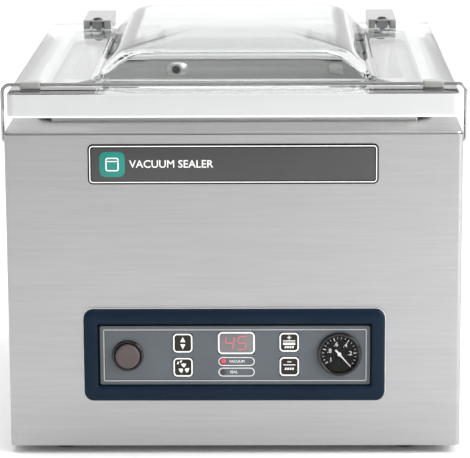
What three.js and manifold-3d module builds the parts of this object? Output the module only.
// Table-top vacuum sealer with a clear domed lid: a stainless steel cabinet holding a deep vacuum
// chamber, the pump and the electrics, and a thick acrylic lid on two spring-assisted rear hinges.
// Millimetres, +Z up, the front of the machine faces -Y, and the floor is z = 0.
import * as THREE from 'three';
import { mergeVertices } from 'three/addons/utils/BufferGeometryUtils.js';
import Module from 'manifold-3d';

const wasm = await Module();
wasm.setup();

// ---------------------------------------------------------------- driving dimensions
const GAP = 0.3; // clearance between pieces that touch
const SHEET = 1.5; // stainless sheet of the cabinet
const PI = Math.PI;

const body = { halfWidth: 225, front: -277, back: 250, bottom: 8.8, top: 328, corner: 5 };
const deckEdge = { drop: 2.4, radius: 2.2 };
const deckBead = { halfLength: 183, y: -216.7, width: 5.4, height: 3.9, round: 1.4 }; // ridge on the deck
const deckUnderside = body.top - SHEET;
const seam = body.top - deckEdge.drop - 0.6; // top of the four cabinet walls
const panelReturn = 20; // how far the front panel wraps round onto the sides
const rearReturn = 15;

const chamber = { width: 352, depth: 370, y: -5, corner: 15, floor: 218, rim: 10 };
const gasket = { halfWidth: 200, front: -213, back: 203, thick: 10, corner: 30, groove: 3 };

const lid = { halfWidth: 221, front: -282.7, back: 250, bottom: 342.6, top: 366.4, corner: 7 };
const dome = { halfWidth: 143, front: -197.4, back: 187.4, shoulder: 28, crown: 38.5, wall: 4.5 };

const bail = { y: -244, z: 370, radius: 1.7, armX: 229, bend: 7, tipZ: 314.4, tipX: 226.6 };
const clip = { x: { left: -201, right: 197 }, width: 20, depth: 12, height: 6.6 };

const pivot = { x: 164.5, y: 272, z: 300 }; // lid hinge axis, right-hand hinge
const hinge = { halfWidth: 15.8, wall: 7.4, top: 377, front: 190, back: 290, plate: 6, hub: 10 };
const hingeBolt = { radius: 4, hole: 6.4, setBack: 9 }; // the cover's screw, in from its front end
const lever = { reach: 40, tilt: 22.5 * PI / 180, halfHeight: 6.7, slotHalf: 3.2 };
const gasSpring = { y: 235, tube: 9, rod: 4, foot: 104, bottom: 118, top: 262, pin: 2.5 };
gasSpring.pinZ = pivot.z - lever.reach * Math.sin(lever.tilt);

const sealBar = { halfLength: 170, y: -175, width: 18, bottom: 284, top: 314, rodX: 120, rod: 6 };
const sealCylinder = { radius: 11, bore: 6.5, top: 272 };

const bezel = { x: -0.2, z: 103.3, width: 299.4, height: 93.6, corner: 9.5, front: -284.5 };
const keypad = { x: 0.5, z: 102.9, width: 268.4, height: 59.9, front: -279.9 };
const panelCutout = { width: 255, height: 52 };
const facePlateBack = body.front - GAP;
const key = { size: 19.5, front: -280.7, back: -275.5, holeGap: 0.3 };
const keyCentres = { up_down: [-51.3, 115.6], fan: [-51.2, 90.8], plus: [54.4, 116.3], minus: [54.5, 91.4] };
const display = { x: 2, z: 115.5, width: 36, height: 22 };
const led = { x: -11, vacuumZ: 96.5, sealZ: 85.6, radius: 2.2 };
const button = { x: -106.1, z: 103, radius: 12.25, collar: 15.5, barrel: 14, front: -287.5 };
const gauge = { x: 104.3, z: 104.3, ring: 21.9, barrel: 20, bore: 18.6, front: -284.8 };
gauge.restAngle = -49 * PI / 180;
const nameplate = { x: -0.3, z: 295.9, width: 285.3, height: 40, corner: 5, thick: 1 };
const board = { back: -260.4, front: -262, x0: -130, x1: 80, z0: 58, z1: 148 };

const pump = { y: 0, z: 98, radius: 62, x0: -150, x1: -42 };
const motor = { radius: 58, x0: -41.7, x1: 95, shaft: 6 };
const fan = { x0: 100, x1: 122, radius: 48, hub: 11, blades: 8 };
const fanCover = { radius: 60, x0: 95.3, x1: 134 };
const suction = { x: -73, z: 311, hole: 9 };
const vent = { x: 112, z: 311, hole: 8 };
const inlet = { x: 150, z: 58, width: 58, height: 30 };
const exhaust = { x: -150, z: 62 };
const feet = { x: 172, front: -238, back: 210, height: body.bottom - GAP };

// ---------------------------------------------------------------- solids and booleans
function toManifold(geometry) {
  const bare = geometry.clone();
  bare.deleteAttribute('normal');
  bare.deleteAttribute('uv');
  const merged = mergeVertices(bare, 1e-4);
  return new wasm.Manifold(new wasm.Mesh({
    numProp: 3,
    vertProperties: new Float32Array(merged.attributes.position.array),
    triVerts: new Uint32Array(merged.index.array),
  }));
}

function fromManifold(solid) {
  const mesh = solid.getMesh();
  const geometry = new THREE.BufferGeometry();
  geometry.setAttribute('position', new THREE.BufferAttribute(new Float32Array(mesh.vertProperties), 3));
  geometry.setIndex(new THREE.BufferAttribute(new Uint32Array(mesh.triVerts), 1));
  geometry.computeVertexNormals();
  return geometry;
}

function cut(base, ...tools) {
  return fromManifold(tools.reduce((solid, tool) => solid.subtract(toManifold(tool)), toManifold(base)));
}

function join(first, ...rest) {
  return fromManifold(rest.reduce((solid, piece) => solid.add(toManifold(piece)), toManifold(first)));
}

function common(a, b) {
  return fromManifold(toManifold(a).intersect(toManifold(b)));
}

// ---------------------------------------------------------------- basic shapes
function box(x0, x1, y0, y1, z0, z1) {
  return new THREE.BoxGeometry(x1 - x0, y1 - y0, z1 - z0)
    .translate((x0 + x1) / 2, (y0 + y1) / 2, (z0 + z1) / 2);
}

function roundedRect(width, height, radius) {
  const [a, b] = [width / 2, height / 2];
  const shape = new THREE.Shape();
  shape.moveTo(a, radius - b);
  shape.absarc(a - radius, b - radius, radius, 0, PI / 2);
  shape.absarc(radius - a, b - radius, radius, PI / 2, PI);
  shape.absarc(radius - a, radius - b, radius, PI, PI * 1.5);
  shape.absarc(a - radius, radius - b, radius, PI * 1.5, PI * 2);
  return shape;
}

function extrude(shape, depth, curveSegments = 2, bevel = 0) {
  return new THREE.ExtrudeGeometry(shape, {
    depth: depth - 2 * bevel,
    curveSegments,
    bevelEnabled: bevel > 0,
    bevelThickness: bevel,
    bevelSize: bevel,
    bevelOffset: -bevel,
    bevelSegments: 2,
  }).translate(0, 0, bevel);
}

// A slab with rounded corners in plan, standing from z0 to z1.
function slabZ(x, y, width, depth, radius, z0, z1, bevel = 0, segments = 2) {
  return extrude(roundedRect(width, depth, radius), z1 - z0, segments, bevel).translate(x, y, z0);
}

// A slab with rounded corners seen from the front, lying between y0 and y1.
function slabY(x, z, width, height, radius, y0, y1, bevel = 0, segments = 2) {
  return extrude(roundedRect(width, height, radius), y1 - y0, segments, bevel)
    .rotateX(PI / 2).translate(x, y1, z);
}

function rodX(radius, x0, x1, y, z, sides = 20) {
  return new THREE.CylinderGeometry(radius, radius, x1 - x0, sides)
    .rotateZ(-PI / 2).translate((x0 + x1) / 2, y, z);
}

function rodY(radius, y0, y1, x, z, sides = 20) {
  return new THREE.CylinderGeometry(radius, radius, y1 - y0, sides).translate(x, (y0 + y1) / 2, z);
}

function rodZ(radius, z0, z1, x, y, sides = 20) {
  return new THREE.CylinderGeometry(radius, radius, z1 - z0, sides)
    .rotateX(PI / 2).translate(x, y, (z0 + z1) / 2);
}

// An outline drawn in the side view (across = Y, up = Z), given thickness along X.
function sideProfile(shape, x0, x1, segments = 5, bevel = 0) {
  const turn = new THREE.Matrix4().makeBasis(
    new THREE.Vector3(0, 1, 0), new THREE.Vector3(0, 0, 1), new THREE.Vector3(1, 0, 0));
  return extrude(shape, x1 - x0, segments, bevel).applyMatrix4(turn).translate(x0, 0, 0);
}

function polygon(points) {
  return new THREE.Shape(points.map(([u, v]) => new THREE.Vector2(u, v)));
}

// A wire bent through a list of points, with one section at each point.
class BentWire extends THREE.Curve {
  constructor(points) {
    super();
    this.points = points;
  }

  getPoint(t) {
    const place = t * (this.points.length - 1);
    const from = Math.min(Math.floor(place), this.points.length - 2);
    return this.points[from].clone().lerp(this.points[from + 1], place - from);
  }

  getSpacedPoints() {
    return this.points;
  }

  getTangentAt(u) {
    const last = this.points.length - 1;
    const at = Math.round(u * last);
    const before = this.points[Math.max(at - 1, 0)];
    return this.points[Math.min(at + 1, last)].clone().sub(before).normalize();
  }
}

function wire(points, radius, sides = 8) {
  const section = new THREE.Shape().absarc(0, 0, radius, 0, PI * 2);
  return new THREE.ExtrudeGeometry(section, {
    steps: points.length - 1,
    curveSegments: sides / 2,
    bevelEnabled: false,
    extrudePath: new BentWire(points),
  });
}

// ---------------------------------------------------------------- finishes and the assembly
const sealer = new THREE.Group();

function add(name, geometry, finish) {
  const material = new THREE.MeshStandardMaterial({ roughness: 0.5, metalness: 0, ...finish });
  const mesh = new THREE.Mesh(geometry, material);
  mesh.name = name;
  sealer.add(mesh);
}

const brushed = { color: '#c2c2c0', roughness: 0.34, metalness: 1 };
const deckSteel = { color: '#b4b4b2', roughness: 0.26, metalness: 1 };
const polished = { color: '#d2d2d0', roughness: 0.15, metalness: 1 };
const zincPlate = { color: '#a9abab', roughness: 0.4, metalness: 1 };
const aluminium = { color: '#d6d6d6', roughness: 0.38, metalness: 1 };
const castIron = { color: '#3c4a4a', roughness: 0.6 };
const clear = { color: '#eef2f3', roughness: 0.05, transparent: true, opacity: 0.35 };
const rubber = { color: '#26282a', roughness: 0.75 };
const clipGrey = { color: '#b0b0a8', roughness: 0.55 };
const blackPlastic = { color: '#17181a', roughness: 0.35 };
const bezelBlue = { color: '#212d3d', roughness: 0.3 };
const keyBrown = { color: '#3a352f', roughness: 0.45 };
const SIDES = { left: -1, right: 1 };

// ---------------------------------------------------------------- cabinet
function cabinetWalls() {
  const width = 2 * body.halfWidth;
  const depth = body.back - body.front;
  const middle = (body.back + body.front) / 2;
  const ring = cut(
    slabZ(0, middle, width, depth, body.corner, body.bottom, seam),
    slabZ(0, middle, width - 2 * SHEET, depth - 2 * SHEET, body.corner - SHEET, 0, seam + 1),
  );
  const out = body.halfWidth + 5;
  const frontEdge = body.front + panelReturn;
  const sideEdge = body.halfWidth - rearReturn;
  const front = common(ring, box(-out, out, body.front - 5, frontEdge, 0, 400));
  const opening = slabY(keypad.x, keypad.z, panelCutout.width, panelCutout.height, 3,
    body.front - 5, body.front + 5);
  add('front_panel', cut(front, opening), brushed);

  const holdsBack = (x0, x1) => common(ring, box(x0, x1, frontEdge + GAP, body.back + 5, 0, 400));
  add('side_panel_left', holdsBack(-out, -sideEdge), brushed);
  add('side_panel_right', holdsBack(sideEdge, out), brushed);

  const inside = sideEdge - GAP;
  const rear = common(ring, box(-inside, inside, body.back - 10, body.back + 5, 0, 400));
  const hollow = [body.back - 5, body.back + 5];
  const holes = [
    slabY(inlet.x, inlet.z, 46, 24, 3, ...hollow),
    rodY(11.5, ...hollow, exhaust.x, exhaust.z),
  ];
  for (const side of Object.values(SIDES)) {
    const x = side * pivot.x;
    holes.push(box(x - 5.3, x + 5.3, ...hollow, pivot.z - 18.5, pivot.z + 18.5));
    for (let row = 0; row < 6; row += 1) {
      holes.push(slabY(side * 60, 120 + 14 * row, 90, 5, 2.4, ...hollow, 0, 1));
    }
  }
  add('rear_panel', cut(rear, ...holes), brushed);
}

function topDeck() {
  const width = 2 * body.halfWidth;
  const depth = body.back - body.front;
  const middle = (body.back + body.front) / 2;
  const bottom = body.top - deckEdge.drop;
  const rounded = slabZ(0, middle, width, depth, body.corner + 2, body.top - 20, body.top, deckEdge.radius);
  const cap = common(rounded, box(-300, 300, -300, 300, bottom, 400));
  const underneath = slabZ(0, middle, width - 6, depth - 6, 3, bottom - 5, deckUnderside);
  const opening = slabZ(0, chamber.y, chamber.width, chamber.depth, chamber.corner, 300, 340);
  const { halfLength, y, width: beadWidth, height, round } = deckBead;
  const bead = slabZ(0, y, 2 * halfLength, beadWidth, round + 0.1, body.top - 1, body.top + height, round, 3);
  add('top_deck', join(cut(cap, underneath, opening), bead), deckSteel);
}

function baseTray() {
  const inset = SHEET + GAP;
  const width = 2 * (body.halfWidth - inset);
  const depth = body.back - body.front - 2 * inset;
  const middle = (body.back + body.front) / 2;
  const floor = body.bottom + 2;
  add('base_tray', cut(
    slabZ(0, middle, width, depth, 3.2, body.bottom, body.bottom + 20),
    slabZ(0, middle, width - 3, depth - 3, 2, floor, body.bottom + 30),
  ), zincPlate);
}

function foot(name, x, y) {
  const profile = [[0, 0], [15.5, 0], [18.5, 2.5], [16.5, feet.height], [0, feet.height]];
  const points = profile.map(([r, z]) => new THREE.Vector2(r, z));
  add(name, new THREE.LatheGeometry(points, 24).rotateX(PI / 2).translate(x, y, 0), rubber);
}

function chamberTub() {
  const { width, depth, y, corner, floor, rim } = chamber;
  const top = deckUnderside - GAP;
  const outer = slabZ(0, y, width + 2 * SHEET, depth + 2 * SHEET, corner + SHEET, floor - SHEET, top);
  const flange = slabZ(0, y, width + 2 * rim, depth + 2 * rim, corner + rim, top - SHEET, top);
  const hollow = slabZ(0, y, width, depth, corner, floor, top + 10);
  const wallY = y + depth / 2;
  add('chamber_tub', cut(join(outer, flange), hollow,
    rodY(suction.hole, wallY - 5, wallY + 5, suction.x, suction.z),
    rodY(vent.hole, wallY - 5, wallY + 5, vent.x, vent.z)), polished);
}

// ---------------------------------------------------------------- suction, venting and pump
function chamberFittings() {
  const wall = chamber.y + chamber.depth / 2;
  const nozzle = new THREE.LatheGeometry([
    [5, wall - 9], [8, wall - 9], [13, wall - 2], [13, wall - GAP], [8.7, wall - GAP],
    [8.7, wall + 12], [5, wall + 12], [5, wall - 9],
  ].map(([r, along]) => new THREE.Vector2(r, along)), 24).translate(suction.x, 0, suction.z);
  add('suction_nozzle', nozzle, aluminium);

  add('vent_valve', join(
    rodY(9.6, wall - 4, wall - GAP, vent.x, vent.z),
    rodY(7.6, wall - 2, wall + 12, vent.x, vent.z),
    box(vent.x - 22, vent.x + 22, wall + 8, wall + 38, vent.z - 50, vent.z + 10),
    rodY(9, wall + 30, wall + 50, vent.x, vent.z - 25),
  ), aluminium);

  const nozzleEnd = new THREE.Vector3(suction.x, wall + 12.3, suction.z);
  const pumpEnd = new THREE.Vector3(-115, 90.3, 140);
  const route = new THREE.CatmullRomCurve3([
    [suction.x, wall + 14, suction.z], [suction.x, wall + 20, suction.z], [-76, wall + 29, 295],
    [-87, wall + 31, 252], [-104, wall + 31, 190], [-114, wall + 27, 152], [-115, wall + 10, 140.5],
    [-115, wall - 20, 140], [-115, 94, 140],
  ].map((point) => new THREE.Vector3(...point)));
  const hose = wire([nozzleEnd, ...route.getPoints(20), pumpEnd], 11, 10);
  add('vacuum_hose', hose, { color: '#2c2c30', roughness: 0.6 });
}

function vacuumPump() {
  const { y, z, radius, x0, x1 } = pump;
  add('vacuum_pump', join(
    rodX(radius, x0, x1, y, z, 32),
    slabZ((x0 - 25), y, 60, 124, 10, 36, 160),
    box(x0 - 40, x1 - 8, y - 66, y + 66, 24, 38),
    rodY(17, y + 20, 90, -115, 140),
    slabZ(-96, y, 60, 60, 6, 150, 172),
  ), castIron);

  const [low, high] = [body.bottom + 2 + GAP, 23.7];
  add('pump_cradle', cut(
    slabZ(-32, pump.y, 320, 132, 3, low, high),
    slabZ(-32, pump.y, 290, 92, 3, low - 1, high + 1),
  ), zincPlate);
}

function pumpMotor() {
  const fins = 28;
  const outline = [];
  for (let i = 0; i < fins; i += 1) {
    for (const [step, r] of [[0.05, 50], [0.3, motor.radius], [0.7, motor.radius], [0.95, 50]]) {
      const angle = 2 * PI * (i + step) / fins;
      outline.push([pump.y + r * Math.cos(angle), pump.z + r * Math.sin(angle)]);
    }
  }
  add('pump_motor', join(
    sideProfile(polygon(outline), motor.x0 + 10, motor.x1 - 8),
    rodX(52, motor.x0, motor.x1, pump.y, pump.z, 32),
    box(0, 66, -34, 34, 140, 180),
    box(-20, 75, -64, 64, 24, 44),
    rodX(motor.shaft, motor.x1 - 5, fan.x1 + 4, pump.y, pump.z),
  ), { color: '#56636b', roughness: 0.5 });

  const hub = rodX(fan.hub, fan.x0, fan.x1, pump.y, pump.z);
  const blades = [];
  for (let i = 0; i < fan.blades; i += 1) {
    blades.push(box(fan.x0 + 3, fan.x1 - 3, -1.2, 1.2, fan.hub - 2, fan.radius)
      .rotateX(2 * PI * i / fan.blades).translate(0, pump.y, pump.z));
  }
  const bore = rodX(motor.shaft + 0.5, fan.x0 - 1, fan.x1 + 1, pump.y, pump.z);
  add('fan_rotor', cut(join(hub, ...blades), bore), blackPlastic);

  const { radius, x0, x1 } = fanCover;
  const shell = cut(rodX(radius, x0, x1, pump.y, pump.z, 32),
    rodX(radius - 2.5, x0 - 1, x1 - 2.5, pump.y, pump.z, 32));
  const slots = [];
  for (let i = 0; i < 10; i += 1) {
    slots.push(box(x1 - 6, x1 + 2, -4, 4, 16, 50).rotateX(2 * PI * i / 10).translate(0, pump.y, pump.z));
  }
  add('fan_cover', cut(shell, ...slots), { color: '#4a555c', roughness: 0.5 });
}

function rearConnections() {
  const back = body.back + GAP;
  const { x, z, width, height } = inlet;
  const pins = [-7, 0, 7].map((dx) => (
    box(x + dx - 1.2, x + dx + 1.2, back - 18, back - 6, z - (dx ? 3 : 1), z + (dx ? 1 : 5))));
  add('mains_inlet', join(cut(
    join(slabY(x, z, width, height, 4, back, back + 3),
      slabY(x, z, 45.4, 23.4, 3, back - 22, back + 1)),
    slabY(x, z, 26, 17, 3, back - 17, back + 10),
  ), ...pins), blackPlastic);

  add('exhaust_fitting', cut(
    join(
      rodY(17, back, back + 3, exhaust.x, exhaust.z),
      rodY(11, back - 12, back + 14, exhaust.x, exhaust.z),
    ),
    rodY(8, back - 20, back + 20, exhaust.x, exhaust.z),
  ), blackPlastic);
}

// ---------------------------------------------------------------- sealing
function sealing() {
  const { halfLength, y, width, bottom, top, rodX: offset, rod } = sealBar;
  const beam = join(
    box(-halfLength, halfLength, y - width / 2, y + width / 2, bottom, top),
    ...Object.values(SIDES).map((side) => rodZ(rod, 232, bottom + 2, side * offset, y)),
  );
  add('seal_bar_beam', beam, aluminium);
  const tape = box(-halfLength + 1, halfLength - 1, y - 7, y + 7, top + GAP, top + 1.8);
  add('seal_bar_tape', tape, { color: '#8a6a48', roughness: 0.6 });

  for (const [name, side] of Object.entries(SIDES)) {
    add(`seal_cylinder_${name}`, cut(
      rodZ(sealCylinder.radius, chamber.floor + GAP, sealCylinder.top, side * offset, y),
      rodZ(sealCylinder.bore, chamber.floor + 8, sealCylinder.top + 5, side * offset, y),
    ), polished);
  }

  add('seal_transformer', join(
    slabZ(180, -190, 56, 66, 3, 13.3, 84),
    slabZ(180, -190, 40, 84, 6, 28, 70),
  ), { color: '#5b4636', roughness: 0.55 });

  const underLid = lid.bottom - GAP;
  const holder = box(-halfLength - 2, halfLength + 2, y - 12, y + 12, 332, underLid);
  const groove = box(-halfLength - GAP, halfLength + GAP, y - 7.3, y + 7.3, 330, 338);
  add('counter_bar', cut(holder, groove), aluminium);
  const strip = box(-halfLength, halfLength, y - 7, y + 7, 326.6, 337.7);
  add('counter_bar_strip', strip, { color: '#b5bcc0', roughness: 0.7 });
}

// ---------------------------------------------------------------- lid
// The dome: a crowned outline from the side, crossed with a sloping-sided outline from the front.
function domeSolid(wall, zFrom) {
  const base = lid.top;
  const half = dome.halfWidth - 1.25 * wall;
  const [front, back] = [dome.front + wall, dome.back - wall];
  const shoulder = dome.shoulder - 0.9 * wall;
  const rise = dome.crown - dome.shoulder;
  const side = [[front, zFrom], [front, base]];
  const steps = 18;
  for (let i = 0; i <= steps; i += 1) {
    const t = -1 + 2 * i / steps;
    const y = (front + back) / 2 + t * ((back - front) / 2 - 7);
    side.push([y, base + shoulder + rise * (1 - Math.abs(t) ** 4)]);
  }
  side.splice(2, 0, [front + 1.2, base + shoulder - 6], [front + 3.2, base + shoulder - 2]);
  side.push([back - 3.2, base + shoulder - 2], [back - 1.2, base + shoulder - 6]);
  side.push([back, base], [back, zFrom]);
  const fromSide = sideProfile(polygon(side.reverse()), -200, 200);

  const top = base + dome.crown - 0.9 * wall + 0.6;
  const outline = new THREE.Shape();
  outline.moveTo(half, zFrom);
  outline.lineTo(half, base);
  outline.lineTo(half - 24, base + 0.62 * (top - base));
  outline.quadraticCurveTo(half - 38, base + 0.9 * (top - base), half - 60, top);
  outline.lineTo(60 - half, top);
  outline.quadraticCurveTo(38 - half, base + 0.9 * (top - base), 24 - half, base + 0.62 * (top - base));
  outline.lineTo(-half, base);
  outline.lineTo(-half, zFrom);
  const fromFront = extrude(outline, 500, 6).rotateX(PI / 2).translate(0, 250, 0);

  const plan = slabZ(0, (front + back) / 2, 2 * half, back - front, 18, zFrom - 1, base + 60, 0, 5);
  return common(common(fromSide, fromFront), plan);
}

function gasketRing(clearance, z0, z1) {
  const middle = (gasket.front + gasket.back) / 2;
  const size = (inset) => [
    2 * (gasket.halfWidth - inset), gasket.back - gasket.front - 2 * inset, gasket.corner - inset];
  return cut(
    slabZ(0, middle, ...size(-clearance), z0, z1, 0, 6),
    slabZ(0, middle, ...size(gasket.thick + clearance), z0 - 1, z1 + 1, 0, 6),
  );
}

function lidShell() {
  const middle = (lid.front + lid.back) / 2;
  const plate = slabZ(0, middle, 2 * lid.halfWidth, lid.back - lid.front, lid.corner,
    lid.bottom, lid.top, 1.8);
  const bulged = join(plate, domeSolid(0, lid.top - 8));
  add('lid_shell', cut(bulged, domeSolid(dome.wall, lid.bottom - 5),
    gasketRing(GAP, lid.bottom - 2, lid.bottom + gasket.groove)), clear);
  const sealTop = lid.bottom + gasket.groove - GAP;
  add('lid_gasket', gasketRing(0, body.top + GAP, sealTop), rubber);
}

// ---------------------------------------------------------------- transport bail
function transportBail() {
  const { y, z, radius, armX, bend, tipZ, tipX } = bail;
  const half = [
    [tipX, tipZ - 0.8], [armX - 0.8, tipZ], [armX, tipZ + 1.6], [armX, z - bend],
  ];
  for (let i = 1; i <= 5; i += 1) {
    const angle = i / 5 * PI / 2;
    half.push([armX - bend + bend * Math.cos(angle), z - bend + bend * Math.sin(angle)]);
  }
  const left = half.map(([x, up]) => new THREE.Vector3(-x, y, up));
  const right = half.map(([x, up]) => new THREE.Vector3(x, y, up)).reverse();
  add('bail_rod', wire([...left, ...right], radius, 10), polished);

  for (const [name, x] of Object.entries(clip.x)) {
    const bottom = lid.top + GAP;
    const block = slabZ(x, y, clip.width, clip.depth, 1.5, bottom, bottom + clip.height, 0.7, 2);
    const bore = rodX(radius + 0.4, x - 15, x + 15, y, z, 12);
    add(`bail_clip_${name}`, cut(block, bore), clipGrey);
  }
}

// ---------------------------------------------------------------- lid hinges and lift springs
function hingeCover(name, x) {
  const { halfWidth, wall, top, front, back } = hinge;
  const low = lid.top + GAP;
  const outline = new THREE.Shape();
  outline.moveTo(front, low);
  outline.lineTo(256, low);
  outline.lineTo(256, 336);
  outline.lineTo(282, 336);
  outline.lineTo(back, 344);
  outline.lineTo(back, top - 7);
  outline.absarc(back - 7, top - 7, 7, 0, PI / 2);
  outline.lineTo(front, top);
  const outer = sideProfile(outline, x - halfWidth, x + halfWidth, 4);
  const inner = halfWidth - wall;
  const channel = join(
    box(x - inner, x + inner, front - 1, back - 5, low - 1, top - 1.8),
    box(x - inner, x + inner, 250, back - 5, 330, top - 1.8),
  );
  const hole = rodZ(hingeBolt.hole, top - 5, top + 1, x, front + hingeBolt.setBack);
  add(`hinge_cover_${name}`, cut(outer, channel, hole), aluminium);
}

function hingeArm(name, x) {
  const { y, z } = pivot;
  const half = hinge.plate / 2;
  const low = lid.top + GAP;
  const plateTop = hinge.top - 2.3;
  const [cos, sin] = [Math.cos(lever.tilt), Math.sin(lever.tilt)];
  const along = (distance, across) => [
    y - distance * cos + across * sin, z - distance * sin - across * cos];
  const slotEnds = [lever.reach * cos, lever.reach];

  const strip = (from, to, halfWidth) => join(
    sideProfile(polygon([along(from, halfWidth), along(to, halfWidth), along(to, -halfWidth),
      along(from, -halfWidth)].reverse()), x - half, x + half),
    rodX(halfWidth, x - half, x + half, ...along(from, 0), 20),
    rodX(halfWidth, x - half, x + half, ...along(to, 0), 20),
  );
  const tip = strip(0, slotEnds[1], lever.halfHeight);
  const slot = strip(...slotEnds, lever.slotHalf).translate(-x, 0, 0).scale(2, 1, 1).translate(x, 0, 0);
  const bracket = [
    box(x - half, x + half, y - 6, y + 7, z, plateTop),
    box(x - half, x + half, hinge.front + 4, y + 7, low, plateTop),
    box(x - 6, x + 6, hinge.front + 3, hinge.front + 40, low, plateTop),
    rodZ(hingeBolt.radius, low + 1, hinge.top + 0.5, x, hinge.front + hingeBolt.setBack),
    rodX(hinge.hub, x - 6, x + 6, y, z),
  ];
  const arm = cut(join(tip, ...bracket), slot, rodX(4.5, x - 10, x + 10, y, z));
  add(`hinge_arm_${name}`, arm, zincPlate);
}

function hingeBracket(name, x) {
  const { y, z } = pivot;
  const back = body.back + GAP;
  const plate = cut(
    slabY(x, z - 1, 34, 54, 4, back, back + 3),
    box(x - 5.3, x + 5.3, back - 2, back + 5, z - 18.5, z + 18.5),
  );
  const ear = new THREE.Shape();
  ear.moveTo(back + 1, z - 17);
  ear.lineTo(y, z - 11);
  ear.absarc(y, z, 11, -PI / 2, PI / 2);
  ear.lineTo(back + 1, z + 16);
  const ears = [-11.5, 6.5].map((dx) => sideProfile(ear, x + dx, x + dx + 5));
  const bolts = [-14, 14].map((dx) => rodY(2.6, back + 2, back + 5.5, x + dx, z + 21, 12));
  add(`hinge_bracket_${name}`, join(plate, ...ears, rodX(4, x - 13, x + 13, y, z), ...bolts), zincPlate);
}

function liftSpring(name, x) {
  const { y, tube, rod, foot: footZ, bottom, top, pin, pinZ } = gasSpring;
  const inside = body.back - SHEET - GAP;
  add(`gas_spring_tube_${name}`, cut(
    join(rodZ(tube, bottom - 2, top, x, y), box(x - 8, x + 8, y - 8, inside, footZ, bottom)),
    rodZ(rod + 0.6, bottom + 20, top + 5, x, y),
  ), { color: '#1b1c1e', roughness: 0.3 });

  const bridge = box(x - 7.2, x + 7.2, y - 6, y + 6, pinZ - 15, pinZ - 11);
  const legs = [-7.2, 3.6].map((dx) => box(x + dx, x + dx + 3.6, y - 6, y + 6, pinZ - 13, pinZ + 6));
  add(`gas_spring_rod_${name}`, join(
    rodZ(rod, bottom + 34, pinZ - 13, x, y), bridge, ...legs, rodX(pin, x - 5, x + 5, y, pinZ, 16),
  ), polished);
}

// ---------------------------------------------------------------- controls
function controls() {
  const at = (piece, slack, y0 = -290, y1 = -270, radius = 1.5) => slabY(
    piece.x, piece.z, piece.width + 2 * slack, piece.height + 2 * slack, radius, y0, y1);
  const raised = slabY(bezel.x, bezel.z, bezel.width, bezel.height, bezel.corner,
    bezel.front, body.front + 4, 2, 3);
  const trimmed = common(raised, box(-200, 200, -300, facePlateBack, 0, 200));
  add('control_bezel', cut(trimmed, at(keypad, GAP)), bezelBlue);

  const sheet = at(keypad, 0, keypad.front, facePlateBack);
  const holes = Object.values(keyCentres).map(([x, z]) => (
    slabY(x, z, key.size + 2 * key.holeGap, key.size + 2 * key.holeGap, 2.8, -290, -270)));
  for (const z of [led.vacuumZ, led.sealZ]) {
    holes.push(rodY(led.radius + GAP, -290, -270, led.x, z, 16));
  }
  add('keypad_sheet', cut(sheet, ...holes, at(display, GAP),
    rodY(button.barrel + GAP, -290, -270, button.x, button.z, 32),
    rodY(gauge.barrel + GAP, -290, -270, gauge.x, gauge.z, 32)), { color: '#646b6f', roughness: 0.4 });

  for (const [name, [x, z]] of Object.entries(keyCentres)) {
    add(`key_${name}`, slabY(x, z, key.size, key.size, 2.5, key.front, key.back, 0.4), keyBrown);
  }
  add('display_window', at(display, 0, -280.1, -277, 1.2), { color: '#4a3a3d', roughness: 0.15 });
  for (const [name, z] of [['vacuum_led', led.vacuumZ], ['seal_led', led.sealZ]]) {
    const profile = [[0, -280.8], [1.4, -280.5], [led.radius, -279.6], [led.radius, -276], [0, -276]];
    const bulb = new THREE.LatheGeometry(profile.map(([r, y]) => new THREE.Vector2(r, y)), 16);
    add(name, bulb.translate(led.x, 0, z), { color: '#d8404e', roughness: 0.2 });
  }
  const plate = at(nameplate, 0, body.front - GAP - nameplate.thick, body.front - GAP, nameplate.corner);
  add('nameplate', plate, { color: '#585858', roughness: 0.4 });
}

function powerSwitch() {
  const { x, z, radius, collar, barrel, front } = button;
  add('power_switch_body', cut(
    join(rodY(collar, front + 4, keypad.front - GAP, x, z, 32), rodY(barrel, front + 6, -264, x, z, 32)),
    rodY(radius + 0.4, front, -268, x, z, 32),
  ), { color: '#4d4f52', roughness: 0.35, metalness: 0.6 });
  const cap = [[0, 0], [9.6, 0], [11.4, 0.5], [radius, 1.6], [radius, 14.5], [0, 14.5]];
  const profile = cap.map(([r, depth]) => new THREE.Vector2(r, front + depth));
  add('power_button', new THREE.LatheGeometry(profile, 32).translate(x, 0, z),
    { color: '#6b6160', roughness: 0.4 });
}

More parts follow.
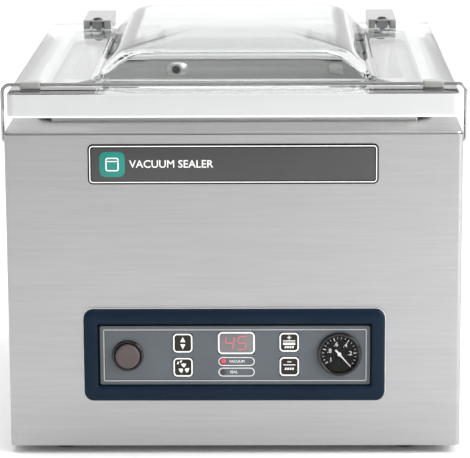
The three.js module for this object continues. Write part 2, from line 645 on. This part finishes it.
function vacuumGauge() {
  const { x, z, ring, barrel, bore, front, restAngle } = gauge;
  add('gauge_case', cut(
    join(rodY(ring, front, keypad.front - GAP, x, z, 40), rodY(barrel, front + 2, -252, x, z, 40)),
    rodY(bore, front - 1, -279.7, x, z, 40),
  ), blackPlastic);
  add('gauge_dial', rodY(bore - GAP, -280.8, -280, x, z, 40), { color: '#141416', roughness: 0.5 });
  add('gauge_glass', rodY(bore - GAP, front + 0.5, front + 1.3, x, z, 40), clear);

  const outline = [[-6, -0.9], [-6, 0.9], [2, 0.8], [15.2, 0.25], [15.2, -0.25], [2, -0.8]];
  const pointer = polygon(outline.reverse());
  const needle = join(extrude(pointer, 0.5), new THREE.CylinderGeometry(2, 2, 1, 20).rotateX(PI / 2));
  add('gauge_needle', needle.rotateZ(restAngle).rotateX(PI / 2).translate(x, -282, z),
    { color: '#f2f2f0', roughness: 0.4 });
}

function controlBoard() {
  const { back, front, x0, x1, z0, z1 } = board;
  const pieces = Object.values(keyCentres).map(([x, z]) => box(x - 3, x + 3, -274.4, front, z - 3, z + 3));
  pieces.push(box(display.x - 17, display.x + 17, -276.5, front, display.z - 10, display.z + 10));
  for (const x of [x0 + 5, x1 - 5]) {
    for (const z of [z0 + 5, z1 - 5]) {
      pieces.push(rodY(3, body.front + SHEET + GAP, front, x, z, 12));
    }
  }
  const rearSide = [
    [-100, 70, 30, 16], [-50, 72, 26, 20], [5, 72, 40, 18], [55, 130, 24, 20], [-20, 130, 50, 12],
  ];
  for (const [x, z, width, height] of rearSide) {
    pieces.push(box(x - width / 2, x + width / 2, back - 0.5, back + 14, z - height / 2, z + height / 2));
  }
  add('control_board', join(box(x0, x1, front - 0.01, back, z0, z1), ...pieces), { color: '#2d5a3a' });
}

// ---------------------------------------------------------------- build it
baseTray();
for (const [name, side] of Object.entries(SIDES)) {
  foot(`foot_front_${name}`, side * feet.x, feet.front);
  foot(`foot_rear_${name}`, side * feet.x, feet.back);
}
cabinetWalls();
topDeck();
chamberTub();
chamberFittings();
vacuumPump();
pumpMotor();
rearConnections();
sealing();
lidShell();
transportBail();
for (const [name, side] of Object.entries(SIDES)) {
  hingeCover(name, side * pivot.x);
  hingeArm(name, side * pivot.x);
  hingeBracket(name, side * pivot.x);
  liftSpring(name, side * pivot.x);
}
controls();
powerSwitch();
vacuumGauge();
controlBoard();

export default sealer;
